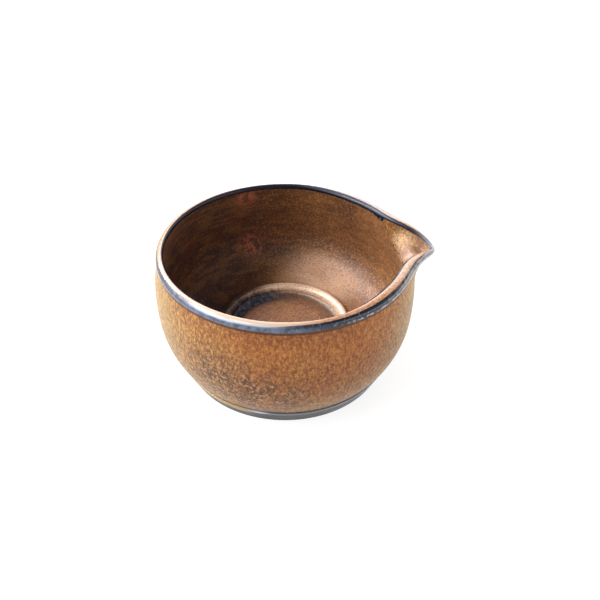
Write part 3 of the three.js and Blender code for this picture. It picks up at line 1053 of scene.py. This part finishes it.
outer = 1 - inner
dull = (far_inner * 0.6 + pool * pool_lit_side).clamped()
spout_glow = channel * (1 - edge)
glossy = (edge + crest + tip + shoulder * inner * 0.5 + spout_glow * 0.2).clamped() * (1 - dull)
satin = SATIN + (fine - 0.5) * 0.2 - outer * 0.06
grain_relief = grain * (outer * 0.6 + 0.1) + speckle * 0.4 + fine * 0.2
surfaced(glazed_body, glaze, {
    "Base Color": glaze_color,
    "Roughness": satin * (1 - glossy) + GLASS * glossy,
    "Metallic": (METAL_INSIDE + outer * METAL_OUTSIDE) * (1 - glossy) + lip * 0.4 * (1 - dull),
    "Normal": relief(tree, grain_relief * (1 - 0.7 * glossy)),
    "Coat Weight": 0.3 * glossy,
    "Coat Roughness": 0.12,
    "IOR": 1.47,
})

# %% [markdown]
# ## The foot's clay
#
# The foot carries only a thin dark wash over slate-grey clay, with fine rings from the turning tool. On
# the left and at the back a run of glaze has crept down over its upper half. The ledge under the body
# carries a painted highlight: a thin blue-grey edge with one pale painted glint.
#
# The rings could be modelled, but they are finer than the outline's own points. A noise that is drawn
# out sideways gives them.

# %% Slate-grey clay
CLAY_DARK = linear(38, 35, 36)
CLAY_GREY = linear(57, 53, 53)
GRIT_DARK = linear(32, 30, 31)
TURNED = (0.12, 0.12, 1)              # draws a pattern out into rings
RING_SCALE = 1400.0                   # in the noise's own measure, rings under a millimetre apart
RUN_HEIGHT = (3.4, 4.0)
RUN_END = (-22.0, -14.0)
LEDGE_HEIGHT = (5.3, 5.8)
LEDGE_GLINT_PAINTED = (-25.0, -20.0, -14.0, -9.0)

clay, tree = started("washed_clay")
at = position(tree)
across, along, height = millimetres(tree, at)
rings = node(tree, "ShaderNodeTexNoise", {"noise_dimensions": "3D"},
             {"Vector": position(tree, TURNED), "Scale": RING_SCALE, "Detail": 2.0}, "Fac")
cloud = noise(tree, at, 14.0, 3.0)
grit = noise(tree, at, 0.7, 3.0, 0.7)
run = (height + (cloud - 0.5) * 2.0).rising(*RUN_HEIGHT) * (across + (cloud - 0.5) * 8.0).falling(*RUN_END)
ledge = height.rising(*LEDGE_HEIGHT)
# Painted highlight: the bare ledge is painted blue-grey, with a pale glint on the left.
ledge_highlight_painted = ledge * (1 - run)
clay_color = layered(
    tree, mixed(tree, cloud.rising(0.40, 0.62), CLAY_DARK, CLAY_GREY),
    (grit.rising(0.56, 0.70) * 0.5, GRIT_DARK),
    (run, mixed(tree, grit.rising(0.45, 0.60), GOLD_BROWN, OLIVE_GOLD)),
    (ledge_highlight_painted * 0.8, BLUE_GREY),
    (ledge_highlight_painted * across.band(*LEDGE_GLINT_PAINTED), HIGHLIGHT_WHITE),
)
surfaced(turned_foot, clay, {
    "Base Color": clay_color,
    "Roughness": 0.42 + (grit - 0.5) * 0.3 - ledge * 0.2,
    "Metallic": 0.15,
    "Normal": relief(tree, rings * 0.5 + grit * 0.5),
    "Coat Weight": ledge * 0.6,
    "Coat Roughness": 0.15,
})

# %% [markdown]
# ## The floor
#
# The bowl stands on white paper. A bright lamp overhead would make paper white, but it would also fill
# the bowl with light. The paper glows a little by itself instead: it looks white in the picture, and the
# lower wall gets the light that white paper throws back.

# %% A sheet of white paper
FLOOR_HALF = 2.5                      # metres
PAPER_DARK = (0.20, 0.20, 0.20, 1.0)
PAPER_LIGHT = (0.24, 0.24, 0.24, 1.0)
PAPER_CLOUD = 300.0
PAPER_GLOW = 0.85
WHITE = (1.0, 1.0, 1.0, 1.0)

floor_bm = bmesh.new()
bmesh.ops.create_grid(floor_bm, x_segments=1, y_segments=1, size=FLOOR_HALF)
floor_mesh = bpy.data.meshes.new("floor")
floor_bm.to_mesh(floor_mesh)
floor_bm.free()
floor = linked("floor", floor_mesh)

paper, tree = started("white_paper")
at = node(tree, "ShaderNodeTexCoord", {}, {}, "Object")
surfaced(floor, paper, {
    "Base Color": mixed(tree, noise(tree, at, PAPER_CLOUD, 2.0), PAPER_DARK, PAPER_LIGHT),
    "Roughness": 0.9,
    "Emission Color": WHITE,
    "Emission Strength": PAPER_GLOW,
})
print("floor", 2 * FLOOR_HALF, "m wide")

# %% [markdown]
# ## Lamps
#
# Three soft lamps hang high on the left: a small one to the side, a larger and stronger one behind the
# bowl, and a faint one in front. They draw the lines along the lip, the lit floor of the bowl and the
# spark in the spout, over the highlights and the pool of light that are also painted into the glaze
# there. One lamp would give a single hard line. The camera doesn't see them, so they can stand where
# they are needed.

# %% Three soft lamps
AIM = (0, 0, 30)
LAMPS = {                             # place as seen from the camera, and size, in mm; and power in watts
    "key_left": ((-559, 0, 696), 200.0, 4.2),
    "window_behind": ((-450, 450, 620), 340.0, 11.0),
    "fill_front": ((-352, -352, 743), 200.0, 1.2),
}

def softbox(name, at, aim, size, power):
    """A square area lamp at one point, facing another."""
    data = bpy.data.lights.new(name, "AREA")
    data.size = size * MM
    data.energy = power
    lamp = bpy.data.objects.new(name, data)
    lamp.location = at
    lamp.rotation_euler = (aim - at).to_track_quat("-Z", "Y").to_euler()
    lamp.visible_camera = False
    bpy.context.scene.collection.objects.link(lamp)

for name, (where, size, power) in LAMPS.items():
    softbox(name, seen_from_camera(*where), seen_from_camera(*AIM), size, power)
print(len(LAMPS), "soft lamps")

# %% [markdown]
# ## The room
#
# What one sees on a glaze is mostly what stands round it, so the surroundings are part of the light:
# bright low down and at the sides, as white paper and a window are, with a band behind the bowl, and dim
# overhead, which keeps the inside of the bowl deep. A picture of a studio could surround it as well.
# Soft bands in the world's shader are enough, and need no file.

# %% Bright sides and a dim ceiling
LOW_TOP = (0.22, 0.38)                # how steeply a direction points upwards: 0 level, 1 straight up
MIDDLE = (0.22, 0.38, 0.57, 0.73)
BACK_BAND = (0.38, 0.48, 0.60, 0.70)
TO_ONE_SIDE = (0.45, 0.80)            # how squarely a direction has to point to a side
CEILING = 0.3

world = bpy.data.worlds.new("studio")
world.use_nodes = True
tree = world.node_tree
direction = node(tree, "ShaderNodeTexCoord", {}, {}, "Generated")
upwards = node(tree, "ShaderNodeSeparateXYZ", {}, {"Vector": direction}, "Z")

def side(tree, right, forward):
    """1 in directions to one side as seen from the camera, 0 in the others."""
    way = seen_from_camera(right, forward, 0) - seen_from_camera(0, 0, 0)
    squarely = node(tree, "ShaderNodeVectorMath", {"operation": "DOT_PRODUCT"},
                    {0: direction, 1: way.normalized()}, "Value")
    return squarely.rising(*TO_ONE_SIDE)

low = upwards.falling(*LOW_TOP)
middle = upwards.band(*MIDDLE)
glow = (CEILING + low * 0.3
        + side(tree, -1, 0) * (middle * 4.8 + low * 2.6)
        + side(tree, 1, 0) * (middle * 0.2 + low * 2.8)
        + side(tree, 0, 1) * (middle * 1.5 + upwards.band(*BACK_BAND) * 3.5))
room = tree.nodes["Background"]
room.inputs["Color"].default_value = WHITE
tree.links.new(glow.socket, room.inputs["Strength"])
bpy.context.scene.world = world
bpy.context.scene.view_settings.view_transform = "Standard"
print("room has", len(tree.nodes), "nodes")
